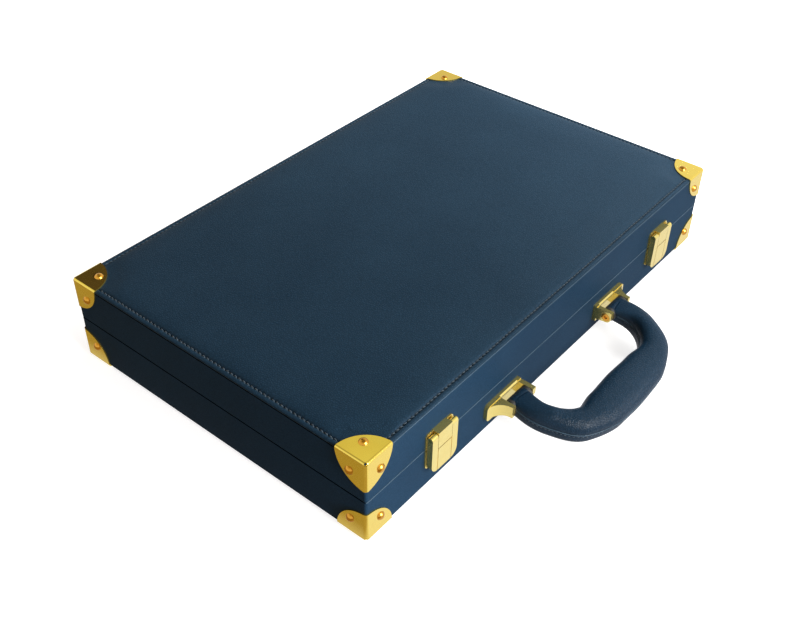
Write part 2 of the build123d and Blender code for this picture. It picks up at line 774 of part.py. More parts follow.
def build():
    nodes = {}
    holes = nail_holes()
    mortises = [leaf_mortise(side) for side in (-1, 1)]
    shared = holes + mortises + hinge_screws(True)

    base_cuts = shared + bracket_screws(True) + catch_rivets(True)
    for name, shape in half_walls(base_floor, base_cuts).items():
        nodes["base_" + name] = shape
    nodes["base_bottom_panel"] = half_panel(base_floor, holes)
    nodes["base_leatherette_wrap"] = half_wrap(base_floor, case_edge_radius, base_cuts)
    nodes["base_underside_sheet"] = underside_sheet()
    nodes["base_playing_field"] = half_field(base_floor)
    nodes["base_points_light"] = half_points(base_floor, 0)
    nodes["base_points_dark"] = half_points(base_floor, 1)
    nodes["base_tray_divider"] = half_divider(base_floor)

    lid_cuts = shared + [to_lid(hole) for hole in body_rivets(True)]
    for name, shape in half_walls(lid_floor, lid_cuts).items():
        nodes["lid_" + name] = to_lid(shape)
    nodes["lid_top_panel"] = to_lid(half_panel(lid_floor, holes))
    nodes["lid_leatherette_wrap"] = to_lid(half_wrap(lid_floor, rim_edge_radius, lid_cuts))
    nodes["lid_playing_field"] = to_lid(half_field(lid_floor))
    nodes["lid_points_light"] = to_lid(half_points(lid_floor, 1))
    nodes["lid_points_dark"] = to_lid(half_points(lid_floor, 0))
    nodes["lid_tray_divider"] = to_lid(half_divider(lid_floor))
    top_holes = [to_lid(hole) for hole in holes]
    nodes["lid_pad"] = top_pad(top_holes)
    nodes["lid_top_cover"] = top_cover(top_holes)

    front_left = brass_corner(holes)
    corners = {"front_left": front_left, "front_right": mirror_x(front_left)}
    corners["back_left"] = mirror_y(front_left)
    corners["back_right"] = mirror_x(corners["back_left"])
    for name, shape in corners.items():
        nodes["base_corner_" + name] = shape
        nodes["lid_corner_" + name] = to_lid(shape)
    nails = [nail(seat, direction) for seat, direction in nail_seats()]
    nodes["base_corner_nails"] = group(nails)
    nodes["lid_corner_nails"] = group([to_lid(shape) for shape in nails])

    sides = (-1, 1)
    leaf_holes = hinge_screws(True)
    nodes["hinge_leaves_base"] = group([hinge_leaf_half(side, 0, leaf_holes) for side in sides])
    nodes["hinge_leaves_lid"] = group([to_lid(hinge_leaf_half(side, 1, leaf_holes)) for side in sides])
    nodes["hinge_pins"] = group([hinge_pin(side) for side in sides])
    nodes["hinge_screws_base"] = group(hinge_screws(False))
    nodes["hinge_screws_lid"] = group([to_lid(screw) for screw in hinge_screws(False)])

    for name, side in (("left", -1), ("right", 1)):
        x = side * latch_offset
        nodes["latch_body_" + name] = latch_body(x)
        nodes["latch_flap_" + name] = latch_flap(x)
        nodes["latch_catch_" + name] = latch_catch(x)
    nodes["latch_pins"] = group([latch_pin(side * latch_offset) for side in sides])
    nodes["latch_body_rivets"] = group(body_rivets(False))
    nodes["latch_catch_rivets"] = group(catch_rivets(False))

    bracket = handle_bracket()
    nodes["handle_bracket_left"] = bracket
    nodes["handle_bracket_right"] = mirror_x(bracket)
    nodes["handle_bracket_screws"] = group(bracket_screws(False))
    nodes["handle_pivot_screws"] = group([pivot_screw(), mirror_x(pivot_screw())])
    nodes.update(handle_parts())

    nodes["checkers_light"] = checker_row(0)
    nodes["checkers_dark"] = checker_row(1)
    nodes["dice"] = dice()
    nodes["doubling_cube"] = doubling_cube()
    nodes["dice_cups"] = dice_cups()
    return nodes


for node, shape in build().items():
    export_step(shape, "parts/" + node + ".step")
    print(node, round(shape.volume, 1))
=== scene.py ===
from functools import partial
import math

import bmesh
import bpy
import numpy as np
from mathutils import Matrix, Vector, noise


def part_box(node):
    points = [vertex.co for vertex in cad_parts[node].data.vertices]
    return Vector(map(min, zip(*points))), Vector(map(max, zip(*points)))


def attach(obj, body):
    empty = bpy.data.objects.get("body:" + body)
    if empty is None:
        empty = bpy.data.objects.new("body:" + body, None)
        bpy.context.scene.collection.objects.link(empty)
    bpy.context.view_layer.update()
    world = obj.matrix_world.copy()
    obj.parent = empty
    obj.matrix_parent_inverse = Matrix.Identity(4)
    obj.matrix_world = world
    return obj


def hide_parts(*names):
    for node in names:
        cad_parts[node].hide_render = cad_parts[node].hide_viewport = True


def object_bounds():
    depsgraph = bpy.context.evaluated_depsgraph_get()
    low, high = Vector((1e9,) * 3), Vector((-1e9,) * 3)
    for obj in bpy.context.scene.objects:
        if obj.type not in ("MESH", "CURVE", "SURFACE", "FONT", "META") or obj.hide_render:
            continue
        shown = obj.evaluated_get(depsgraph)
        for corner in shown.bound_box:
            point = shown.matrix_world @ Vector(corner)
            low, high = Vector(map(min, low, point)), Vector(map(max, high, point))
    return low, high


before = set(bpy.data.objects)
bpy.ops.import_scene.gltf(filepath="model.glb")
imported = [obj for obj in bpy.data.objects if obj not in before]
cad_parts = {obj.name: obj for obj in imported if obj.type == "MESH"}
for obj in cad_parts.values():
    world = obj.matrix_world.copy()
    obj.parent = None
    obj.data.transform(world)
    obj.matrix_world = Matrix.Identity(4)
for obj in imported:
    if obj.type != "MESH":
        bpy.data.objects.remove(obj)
cad_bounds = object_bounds()

# The case, in metres, in the frame of the model: +X along the hinge, -Y to the handle, +Z up
MM = 0.001
HALF_X = 190.0 * MM
HALF_Y = 121.5 * MM
LID_TOP = 62.2 * MM
SEAM = 31.5 * MM
SEAM_GAP = 0.3 * MM
BRASS_GAUGE = 0.8 * MM
PETAL_RADIUS = 22.0 * MM
FLOOR_Z = cad_bounds[0][2]

# Outline of the padded cover, its rolled edge, and how far in its rings lie, in millimetres
COVER_CORNER = 1.6 * MM
COVER_CORNER_GROWTH = 0.3
COVER_CORNER_STEPS = 6
COVER_SIDE_STEPS = {"x": 345, "y": 216}
EDGE_ROLL = 0.8 * MM
EDGE_STEPS = 6
COVER_RINGS = (
    1.5, 1.9, 2.3, 2.6, 2.85, 3.1, 3.3, 3.5, 3.7, 3.9, 4.2, 4.6, 5.1, 5.7, 6.4, 7.3, 8.4, 9.8, 11.5,
    13.5, 16.0, 19.0, 22.5, 26.5, 31.0, 36.0, 42.0, 49.0, 57.0, 66.0, 76.0, 88.0, 102.0, 116.0,
)

# Relief of the padded cover; rises, depths and swells (rise, reach) are in millimetres
BORDER_RISE = 0.18
BORDER_FALL = (2.4 * MM, 3.4 * MM)
VALLEY_DEPTH = 0.75
VALLEY_WIDTH = 0.65 * MM
SWELLS = ((0.75, 2.0), (1.25, 9.0))
PETAL_TUCK = 1.0 * MM
PETAL_BLEND = 16.0 * MM
UNDULATION = 0.10 * MM
UNDULATION_SCALE = 22.0
UNDULATION_START = (6 * MM, 30 * MM)
PUCKER = 0.22 * MM
PUCKER_REACH = 1.5 * MM

# Stitches of the padded cover, and the shape of every stitch in shares of its radius
STITCH_INSET = 3.5 * MM
STITCH_PITCH = 3.3 * MM
STITCH_LENGTH = 2.9 * MM
STITCH_RADIUS = 0.42 * MM
STITCH_SLANT = 0.25
STITCH_SINK = 0.55 * MM
STITCH_CLEAR = 0.4 * MM
BEAD_STEPS = 6
BEAD_SIDES = 6
BEAD_TAPER = 0.75
BEAD_RISE = 0.9
BEAD_DIP = 1.5

# Turned edges of the leatherette, beads coloured lighter as a painted highlight
FOLD_RADIUS = 0.34 * MM
FOLD_INSET = 0.35 * MM
FOLD_SIDES = 8

# The handle in millimetres: half of its centreline as (across, out from the pivots), and widths
# from its middle to its ends
PIVOT_Y = -131.5 * MM
PIVOT_Z = 17.0 * MM
HANDLE_PATH = ((58.3, 0.0), (59.4, 15.8), (55.1, 27.1), (45.5, 37.9), (27.3, 42.2))
HANDLE_REACH = 42.5
HANDLE_WIDTHS = (27.4, 25.9, 19.0, 14.6, 16.4)
HANDLE_EYE = 4.8
HANDLE_EYE_HALF = 8.6
HANDLE_SEAM_RISE = 1.6
HANDLE_DROOP = 10.9
HANDLE_STEPS = 120
HANDLE_END_SHARE = 0.125

# Sections of the handle in millimetres; the edges are (in from the side, up) points
DOME_HEIGHT = 8.6
DOME_STEPS = 24
DOME_BOXY = 0.5
DOME_ROUND_ACROSS = 0.42
DOME_ROUND_UP = 0.36
DOME_EDGE = ((0.5, -0.25), (0.12, -0.1))
DOME_UNDER = -0.3
BAND_DEPTH = 7.6
BAND_INSET = 0.15
BAND_FLAT = 0.6
BAND_TOP_EDGE = ((0.7, -0.2), (0.15, -0.45), (-0.1, -1.2))
BAND_LOW_EDGE = ((-0.1, 2.2), (0.25, 0.9), (1.1, 0.1))
PIPING_RADIUS = 0.42
PIPING_SIDES = 8
PIPING_INSET = 0.12
PIPING_LEVEL = -0.22
PIPING_SPAN = (0.02, 0.98)
WRAP_SIDES = 40
WRAP_EDGE = ((0.0, 2.6), (0.15, 3.5), (0.6, 4.3), (1.4, 4.75), (2.6, 4.9))
HANDLE_STITCHES = 75
HANDLE_STITCH_START = 0.06
HANDLE_STITCH_SPAN = 0.88
HANDLE_STITCH_DROP = 1.35
HANDLE_STITCH_OUT = 0.02
HANDLE_STITCH_LENGTH = 1.7 * MM
HANDLE_STITCH_RADIUS = 0.22 * MM

# Playing pieces; the pips' rings are (radius, rise), and the numbers follow the cube's faces
DIE_PIPS = {
    1: ((0, 0),),
    2: ((-1, -1), (1, 1)),
    3: ((-1, -1), (0, 0), (1, 1)),
    4: ((-1, -1), (-1, 1), (1, -1), (1, 1)),
    5: ((-1, -1), (-1, 1), (0, 0), (1, -1), (1, 1)),
    6: ((-1, -1), (-1, 0), (-1, 1), (1, -1), (1, 0), (1, 1)),
}
PIP_SIDES = 20
PIP_SPREAD = 0.5
PIP_RINGS = ((1.3 * MM, -0.05 * MM), (1.25 * MM, 0.03 * MM), (0.7 * MM, 0.04 * MM))
WELD_REACH = 0.01 * MM
CUBE_NUMBERS = ("64", "2", "4", "32", "16", "8")
NUMBER_SIZE = 15 * MM
NUMBER_RISE = 0.04 * MM
CUP_SIDES = 64
CUP_WALL = 2.5 * MM
CUP_BOTTOM = 2.7 * MM
RIM_STEPS = 12
RIM_INSET = 1.25 * MM
RIM_ALONG = 1.5 * MM
RIM_ACROSS = 1.6 * MM
LINING_GAP = 0.05 * MM
LINING_REACH = 0.7 * MM
LINING_FLOOR = 0.6 * MM
LINING_HOLE = 0.5 * MM

# The camera that the photograph was taken with
CAMERA_PLACE = (-463.07 * MM, -361.61 * MM, 465.3 * MM)
CAMERA_TURN = (50.521, -0.769, -50.619)
CAMERA_LENS = 46.782
CAMERA_SENSOR = 36.0
CAMERA_NEAR = 0.01

# The studio: what metal sees by height, then darker panels (direction, inner and outer angle, shade)
WHITE = (1.0, 1.0, 1.0)
AMBIENT = (0.160, 0.100, 0.072)
ROOM_SHADES = (
    (0.42, WHITE),
    (0.60, (0.92, 0.91, 0.78)),
    (0.75, (0.82, 0.80, 0.45)),
    (0.92, (0.30, 0.29, 0.18)),
)
DARK_PANELS = (
    ((0.36, 0.73, 0.58), 12.0, 20.0, (0.03, 0.012, 0.0)),
    ((0.67, 0.37, 0.64), 7.0, 12.0, (0.62, 0.67, 0.60)),
    ((0.72, 0.53, 0.44), 6.0, 11.0, (0.70, 0.66, 0.55)),
)
# Lamps: name, place, size, power, and whether metal shows them
LAMPS = (
    ("key_light", (0.08, -1.60, 0.85), 1.1, 54.0, True),
    ("side_light", (0.48, -0.03, 0.40), 0.4, 6.9, False),
)
SPOT_PLACE = (-0.34, -1.30, 0.16)
SPOT_AIM = (-0.20, -0.12, 0.035)
SPOT_ANGLE = 17.0
SPOT_ENERGY = 85.0
SPOT_SOFTNESS = 0.12

# The floor: its own light for the camera, and what metal sees in it: a painted shadow to the left, near
# white in front
FLOOR_REACH = 6.0
FLOOR_GLOW = (0.80, 1.0)
FLOOR_GLOW_REACH = (0.45, 1.6)
FLOOR_SHADE = 0.5
FLOOR_SPLIT = (-0.200, -0.185)
FLOOR_LEFT_PAINTED_SHADOW = (0.43, 0.33, 0.11)
FLOOR_FRONT = (0.93, 0.94, 1.0)


# Small helpers; a skin is a pair of lists, of points and of faces
def make_piece(name, skin, material, body, smooth=True):
    verts, faces = skin
    mesh = bpy.data.meshes.new(name)
    mesh.from_pydata([tuple(v) for v in verts], [], faces)
    mesh.validate()
    mesh.materials.append(material)
    piece = bpy.data.objects.new(name, mesh)
    bpy.context.scene.collection.objects.link(piece)
    fix_normals(mesh)
    if smooth:
        mesh.shade_smooth()
    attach(piece, body)
    return piece


def fix_normals(mesh):
    bm = bmesh.new()
    bm.from_mesh(mesh)
    bmesh.ops.recalc_face_normals(bm, faces=bm.faces)
    bm.to_mesh(mesh)
    bm.free()


def circle(radius, sides):
    """Points round a circle about zero."""
    angles = [2 * math.pi * k / sides for k in range(sides)]
    return [(radius * math.cos(angle), radius * math.sin(angle)) for angle in angles]


def add_tube(skin, rings, looped=False):
    """Adds a skin over rings of points: joined into a loop, or with a cap on each end."""
    verts, faces = skin
    first = len(verts)
    count = len(rings[0])
    last = first + (len(rings) - 1) * count
    verts.extend(point for ring in rings for point in ring)
    for number in range(len(rings) if looped else len(rings) - 1):
        a = first + number * count
        b = first + (number + 1) % len(rings) * count
        for i in range(count):
            j = (i + 1) % count
            faces.append((a + i, a + j, b + j, b + i))
    if not looped:
        faces.append(tuple(first + i for i in reversed(range(count))))
        faces.append(tuple(last + i for i in range(count)))


def smoothstep(low, high, value):
    t = min(max((value - low) / (high - low), 0.0), 1.0)
    return t * t * (3 - 2 * t)


# Materials
class NodeTree:
    """A node tree with short names for what the materials and the world below use."""

    def __init__(self, tree):
        self.tree = tree

    def node(self, kind, **settings):
        made = self.tree.nodes.new("ShaderNode" + kind)
        for key, value in settings.items():
            setattr(made, key, value)
        return made

    def link(self, output, target):
        self.tree.links.new(output, target)

    def ramp(self, value, stops, interpolation="LINEAR"):
        made = self.node("ValToRGB")
        made.color_ramp.interpolation = interpolation
        elements = made.color_ramp.elements
        while len(elements) < len(stops):
            elements.new(0.5)
        for element, (position, color) in zip(elements, stops):
            element.position = position
            element.color = (*color, 1.0)
        self.link(value, made.inputs["Fac"])
        return made.outputs["Color"]

    def math(self, operation, a, b):
        made = self.node("Math", operation=operation)
        for i, value in enumerate((a, b)):
            if isinstance(value, (int, float)):
                made.inputs[i].default_value = value
            else:
                self.link(value, made.inputs[i])
        return made.outputs["Value"]

    def multiply(self, a, b, share=1.0):
        made = self.node("MixRGB", blend_type="MULTIPLY")
        made.inputs["Fac"].default_value = share
        self.link(a, made.inputs["Color1"])
        self.link(b, made.inputs["Color2"])
        return made.outputs["Color"]


class Shader(NodeTree):
    """A material's node tree, with its surface and the places on its object."""

    def __init__(self, name):
        self.material = bpy.data.materials.new(name)
        self.material.use_nodes = True
        super().__init__(self.material.node_tree)
        self.surface = self.tree.nodes["Principled BSDF"]
        self.place = self.node("TexCoord").outputs["Object"]

    def set(self, **values):
        for key, value in values.items():
            self.surface.inputs[key.replace("_", " ")].default_value = value

    def scaled(self, scale):
        mapping = self.node("Mapping")
        mapping.inputs["Scale"].default_value = scale
        self.link(self.place, mapping.inputs["Vector"])
        return mapping.outputs["Vector"]

    def noise(self, scale, detail=3.0, roughness=0.5, vector=None):
        made = self.node("TexNoise")
        made.inputs["Scale"].default_value = scale
        made.inputs["Detail"].default_value = detail
        made.inputs["Roughness"].default_value = roughness
        self.link(self.place if vector is None else vector, made.inputs["Vector"])
        return made.outputs["Fac"]

    def cells(self, scale, feature="DISTANCE_TO_EDGE", vector=None):
        made = self.node("TexVoronoi", feature=feature)
        made.inputs["Scale"].default_value = scale
        self.link(self.place if vector is None else vector, made.inputs["Vector"])
        return made.outputs["Distance"]

    def blend(self, a, b, share):
        """A value made of a share of one and the rest of the other."""
        return self.math("ADD", self.math("MULTIPLY", a, share), self.math("MULTIPLY", b, 1.0 - share))

    def spread(self, value, low, high, start=0.0, end=1.0):
        """Takes the range from start to end to that from low to high."""
        made = self.node("MapRange")
        for name, number in (("From Min", start), ("From Max", end), ("To Min", low), ("To Max", high)):
            made.inputs[name].default_value = number
        self.link(value, made.inputs["Value"])
        return made.outputs["Result"]

    def bump(self, height, distance, strength=1.0, below=None):
        made = self.node("Bump")
        made.inputs["Strength"].default_value = strength
        made.inputs["Distance"].default_value = distance
        self.link(height, made.inputs["Height"])
        if below is not None:
            self.link(below, made.inputs["Normal"])
        return made.outputs["Normal"]

    def finish(self, color, roughness, normal):
        self.link(color, self.surface.inputs["Base Color"])
        self.link(roughness, self.surface.inputs["Roughness"])
        self.link(normal, self.surface.inputs["Normal"])
        return self.material


def leather(name, dark, light, rough=(0.36, 0.5), grain=0.9, depth=0.05, specular=0.3):
    """Leatherette: fine pebbles between creases darkened with painted shade, over a slow random change
    of tone.
    """
    s = Shader(name)
    warp = s.node("VectorMath", operation="ADD")
    wobble = s.node("TexNoise")
    wobble.inputs["Scale"].default_value = 260.0
    s.link(s.place, wobble.inputs["Vector"])
    shrink = s.node("VectorMath", operation="SCALE")
    shrink.inputs["Scale"].default_value = 0.0012
    s.link(wobble.outputs["Color"], shrink.inputs[0])
    s.link(s.place, warp.inputs[0])
    s.link(shrink.outputs["Vector"], warp.inputs[1])
    pebbles = s.cells(1.0 / (grain * MM), vector=warp.outputs["Vector"])
    raised_and_crease_shade = s.ramp(pebbles, [(0.0, (0, 0, 0)), (0.28, (0.8, 0.8, 0.8)), (0.6, WHITE)])
    fine = s.noise(3200.0, detail=2.0)
    shade = s.noise(9.0, detail=4.0, roughness=0.6)
    speck = s.noise(700.0, detail=2.0)
    color = s.ramp(s.blend(shade, speck, 0.7), [(0.35, dark), (0.65, light)])
    normal = s.bump(fine, 0.012 * MM, 0.5)
    normal = s.bump(raised_and_crease_shade, depth * MM, 0.8, below=normal)
    s.set(Specular_IOR_Level=specular)
    # The colour is darkened in the creases between the pebbles: painted shade
    return s.finish(s.multiply(color, raised_and_crease_shade, 0.35), s.spread(shade, *rough), normal)


def brass(name, color=(0.88, 0.67, 0.14), rough=(0.08, 0.17), metal=0.95):
    """Polished plated brass with faint ripples and handling marks."""
    s = Shader(name)
    marks = s.noise(90.0, detail=5.0, roughness=0.65)
    ripple = s.noise(45.0, detail=2.0)
    scratch = s.noise(40.0, detail=4.0, vector=s.scaled((1.0, 1.0, 18.0)))
    warm = tuple(c * f for c, f in zip(color, (1.02, 0.97, 0.85)))
    s.set(Metallic=metal)
    normal = s.bump(ripple, 0.16 * MM, 0.35)
    normal = s.bump(scratch, 0.004 * MM, 0.4, below=normal)
    return s.finish(s.ramp(marks, [(0.3, color), (0.75, warm)]), s.spread(marks, *rough), normal)


def thread(name, color):
    s = Shader(name)
    twist = s.noise(2600.0, detail=1.0)
    lighter = tuple(1.5 * c for c in color)
    s.set(Sheen_Weight=0.2)
    return s.finish(
        s.ramp(twist, [(0.3, color), (0.7, lighter)]),
        s.spread(twist, 0.5, 0.75),
        s.bump(twist, 0.08 * MM, 0.8),
    )


def felt(name, dark, light):
    s = Shader(name)
    fibres = s.noise(1500.0, detail=5.0, roughness=0.75)
    patches = s.noise(60.0, detail=3.0)
    s.set(Sheen_Weight=0.35, Sheen_Roughness=0.6, Specular_IOR_Level=0.1)
    return s.finish(
        s.ramp(s.blend(fibres, patches, 0.7), [(0.35, dark), (0.65, light)]),
        s.spread(fibres, 0.85, 0.98),
        s.bump(fibres, 0.25 * MM, 0.7),
    )


def wood(name, dark, light):
    s = Shader(name)
    grain = s.noise(30.0, detail=6.0, roughness=0.65, vector=s.scaled((0.12, 1.0, 1.0)))
    pores = s.noise(900.0, detail=2.0, vector=s.scaled((0.08, 1.0, 1.0)))
    return s.finish(
        s.ramp(s.blend(grain, pores, 0.75), [(0.35, dark), (0.5, light), (0.68, dark)]),
        s.spread(grain, 0.45, 0.65),
        s.bump(pores, 0.05 * MM, 0.6),
    )


def marbled(name, dark, light):
    """Cast plastic with clouds and veins, polished."""
    s = Shader(name)
    cloud = s.noise(70.0, detail=6.0, roughness=0.62)
    vein = s.cells(55.0, feature="SMOOTH_F1")
    s.set(Coat_Weight=0.5, Coat_Roughness=0.06)
    return s.finish(
        s.ramp(s.blend(cloud, vein, 0.7), [(0.3, dark), (0.52, light), (0.62, light), (0.8, dark)]),
        s.spread(cloud, 0.14, 0.26),
        s.bump(cloud, 0.02 * MM, 0.2),
    )


def brushed_steel(name):
    s = Shader(name)
    lines = s.noise(1400.0, detail=2.0, vector=s.scaled((1.0, 0.05, 1.0)))
    s.set(Metallic=1.0)
    return s.finish(
        s.ramp(lines, [(0.3, (0.45, 0.45, 0.46)), (0.7, (0.68, 0.68, 0.68))]),
        s.spread(lines, 0.25, 0.4),
        s.bump(lines, 0.01 * MM, 0.5),
    )


def plain_plastic(name, dark, light):
    s = Shader(name)
    moulded = s.noise(1100.0, detail=3.0)
    return s.finish(
        s.ramp(moulded, [(0.3, dark), (0.7, light)]),
        s.spread(moulded, 0.4, 0.55),
        s.bump(moulded, 0.03 * MM, 0.5),
    )


def make_materials():
    return {
        "case": leather("case_leatherette", (0.0085, 0.026, 0.052), (0.0130, 0.036, 0.068),
                        rough=(0.46, 0.6), specular=0.022),
        # The cover's leatherette is set darker than the case's so that the top reads darker: painted
        # shade on the top
        "cover": leather("cover_leatherette", (0.0072, 0.0225, 0.042), (0.012, 0.032, 0.056),
                         rough=(0.46, 0.58), grain=1.3, depth=0.10, specular=0.085),
        "handle": leather("handle_leather", (0.004, 0.017, 0.035), (0.008, 0.026, 0.050),
                          rough=(0.32, 0.44), grain=1.5, depth=0.2, specular=0.15),
        # Real piping, coloured much lighter than the handle's leather: a painted highlight along the
        # seam
        "piping": leather("handle_piping_painted_highlight", (0.030, 0.062, 0.095), (0.045, 0.085, 0.125)),
        "cup": leather("cup_leather", (0.010, 0.030, 0.058), (0.016, 0.042, 0.076), specular=0.2),
        "brass": brass("polished_brass"),
        "fittings": brass("fittings_brass", (0.79, 0.65, 0.22), (0.12, 0.24), 0.88),
        "nail": brass("nail_brass", (0.66, 0.33, 0.05), (0.08, 0.16), 0.98),
        # The turned edges are lighter than the case's leatherette as a painted highlight; shaded_edge
        # is a near-black copy used as painted shade
        "fold": leather("turned_edge_painted_highlight", (0.032, 0.065, 0.098), (0.048, 0.090, 0.132)),
        "shaded_fold": leather("shaded_edge", (0.002, 0.004, 0.007), (0.003, 0.006, 0.010),
                               specular=0.0),
        "thread": thread("navy_thread", (0.008, 0.021, 0.034)),
        "field": felt("field_felt", (0.045, 0.095, 0.15), (0.075, 0.14, 0.21)),
        "lining": felt("cup_lining", (0.02, 0.05, 0.09), (0.04, 0.08, 0.13)),
        "cream": leather("cream_leather", (0.60, 0.52, 0.36), (0.72, 0.64, 0.47), specular=0.4),
        "navy": leather("navy_leather", (0.006, 0.012, 0.032), (0.010, 0.018, 0.045), specular=0.4),
        "frame_wood": wood("frame_wood", (0.36, 0.22, 0.11), (0.52, 0.35, 0.19)),
        "ivory": marbled("ivory_plastic", (0.62, 0.54, 0.38), (0.80, 0.74, 0.60)),
        "blue": marbled("blue_plastic", (0.008, 0.018, 0.06), (0.02, 0.045, 0.13)),
        "dice": marbled("dice_plastic", (0.70, 0.64, 0.50), (0.84, 0.80, 0.68)),
        "ink": plain_plastic("black_ink", (0.008, 0.008, 0.009), (0.02, 0.02, 0.022)),
        "steel": brushed_steel("screw_steel"),
        "stiffener": plain_plastic("stiffener_plastic", (0.012, 0.012, 0.012), (0.03, 0.03, 0.03)),
    }


# The padded cover of the lid
def cover_outline(inset):
    """Points round the case's outline, moved in by inset, close enough together for the stitches."""
    radius = min(COVER_CORNER + COVER_CORNER_GROWTH * inset, (HALF_Y - inset) / 2)
    hx = HALF_X - inset - radius
    hy = HALF_Y - inset - radius
    points = []
    corners = ((1, -1, -90, "y"), (1, 1, 0, "x"), (-1, 1, 90, "y"), (-1, -1, 180, "x"))
    for sx, sy, start, run in corners:
        for i in range(COVER_CORNER_STEPS + 1):
            angle = math.radians(start + 90 * i / COVER_CORNER_STEPS)
            points.append((sx * hx + radius * math.cos(angle), sy * hy + radius * math.sin(angle)))
        x, y = points[-1]
        count = COVER_SIDE_STEPS[run]
        for i in range(1, count):
            share = 1 - 2 * i / count
            points.append((x * share, y) if run == "x" else (x, y * share))
    return points


def from_edge(x, y):
    """Distance in from the case's edge, rounded off where two edges are equally near."""
    dx = max(HALF_X - abs(x), 0.01 * MM)
    dy = max(HALF_Y - abs(y), 0.01 * MM)
    return (dx**-4 + dy**-4) ** -0.25


def from_corner(x, y):
    """Distance from the nearest corner of the brass's outer faces."""
    return math.hypot(HALF_X + BRASS_GAUGE - abs(x), HALF_Y + BRASS_GAUGE - abs(y))


def cushion_share(x, y):
    """How far the cushion has risen at a place: none under the brass petals."""
    return smoothstep(PETAL_RADIUS - PETAL_TUCK, PETAL_RADIUS + PETAL_BLEND, from_corner(x, y))


def cover_height(x, y, inset):
    """Height over the lid's top: a flat border, the stitched valley, then the swell."""
    past = max(from_edge(x, y) / MM - STITCH_INSET / MM, 0.0)
    swell = sum(rise * (1 - math.exp(-past / reach)) for rise, reach in SWELLS)
    valley = VALLEY_DEPTH * math.exp(-((inset - STITCH_INSET) / VALLEY_WIDTH) ** 2)
    border = BORDER_RISE * (1 - smoothstep(*BORDER_FALL, inset))
    share = cushion_share(x, y)
    wave = noise.noise(Vector((x, y, 0.0)) * UNDULATION_SCALE)
    wave *= UNDULATION * share * smoothstep(*UNDULATION_START, inset)
    return (swell * share + border - valley) * MM + wave + pucker(x, y, inset)


def pucker(x, y, inset):
    """Small gathers that the stitches pull into the leatherette on both sides of the seam."""
    along = x if HALF_Y - abs(y) < HALF_X - abs(x) else y
    near = math.exp(-((inset - STITCH_INSET) / PUCKER_REACH) ** 2)
    return -PUCKER * near * math.cos(2 * math.pi * along / STITCH_PITCH)


def make_cover(materials):
    """The cover, from under its rolled edge to its middle."""
    rings = []
    for i in range(EDGE_STEPS + 1):
        angle = math.radians(180 * i / EDGE_STEPS - 90)
        height = EDGE_ROLL * (math.sin(angle) - 1)
        outline = cover_outline(EDGE_ROLL * (1 - math.cos(angle)))
        rings.append([(x, y, LID_TOP + height) for x, y in outline])
    for inset in COVER_RINGS:
        outline = cover_outline(inset * MM)
        rings.append([(x, y, LID_TOP + cover_height(x, y, inset * MM)) for x, y in outline])
    skin = ([], [])
    add_tube(skin, rings)
    piece = make_piece("top_cover_padded", skin, materials["cover"], "lid")
    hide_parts("lid_top_cover", "lid_pad")


def add_bead(skin, middle, along, up, length, radius):
    """Adds one sewn stitch: a thread that rises out of the leather and dips back into it."""
    along = along.normalized()
    side = along.cross(up).normalized()
    rings = []
    for i in range(BEAD_STEPS + 1):
        t = i / BEAD_STEPS * 2 - 1
        rise = radius * (BEAD_RISE - BEAD_DIP * t * t)
        centre = middle + along * (t * length / 2) + up * rise
        points = circle(radius * math.sqrt(1 - BEAD_TAPER * abs(t) ** 3), BEAD_SIDES)
        rings.append([centre + side * u + up * v for u, v in points])
    add_tube(skin, rings)


def make_cover_stitches(materials):
    """Slanted stitches all round the cover, from petal to petal."""
    skin = ([], [])
    up = Vector((0, 0, 1))
    runs = ((Vector((1, 0, 0)), Vector((0, -HALF_Y + STITCH_INSET, 0)), HALF_X),
            (Vector((1, 0, 0)), Vector((0, HALF_Y - STITCH_INSET, 0)), HALF_X),
            (Vector((0, 1, 0)), Vector((-HALF_X + STITCH_INSET, 0, 0)), HALF_Y),
            (Vector((0, 1, 0)), Vector((HALF_X - STITCH_INSET, 0, 0)), HALF_Y))
    for forward, line, half in runs:
        slant = forward + STITCH_SLANT * forward.cross(up)
        count = int(half / STITCH_PITCH)
        for i in range(-count, count):
            place = line + forward * ((i + 0.5) * STITCH_PITCH)
            if from_corner(place.x, place.y) > PETAL_RADIUS + STITCH_CLEAR:
                place.z = LID_TOP - STITCH_SINK
                add_bead(skin, place, slant, up, STITCH_LENGTH, STITCH_RADIUS)
    piece = make_piece("top_cover_stitches", skin, materials["thread"], "lid")


def make_folds(materials):
    """Fine turned edges of the leatherette on the base's rim and under the lid's cover; painted
    highlight, painted shade at the sides.
    """
    rim = SEAM - SEAM_GAP / 2 - FOLD_INSET
    under_cover = LID_TOP - 2 * EDGE_ROLL - FOLD_INSET
    for name, body, level in (("base_rim_fold_painted_light", "base", rim), ("lid_edge_fold_painted_light", "lid", under_cover)):
        rings = []
        for inward, rise in circle(FOLD_RADIUS, FOLD_SIDES):
            outline = cover_outline(FOLD_INSET + inward)
            rings.append([(x, y, level + rise) for x, y in outline])
        skin = ([], [])
        add_tube(skin, rings, looped=True)
        piece = make_piece(name, skin, materials["fold"], body)
        # Faces at the left and right ends take the near-black copy: painted shade in the seam
        piece.data.materials.append(materials["shaded_fold"])
        for face in piece.data.polygons:
            face.material_index = int(abs(face.center.x) > HALF_X - 2 * FOLD_INSET)


# The handle, modelled level about its pivots and then drooped on to the table
def path_points():
    half = [Vector((x, -out)) for x, out in HANDLE_PATH]
    left = [Vector((-p.x, p.y)) for p in half]
    return left + [Vector((0.0, -HANDLE_REACH))] + list(reversed(half))


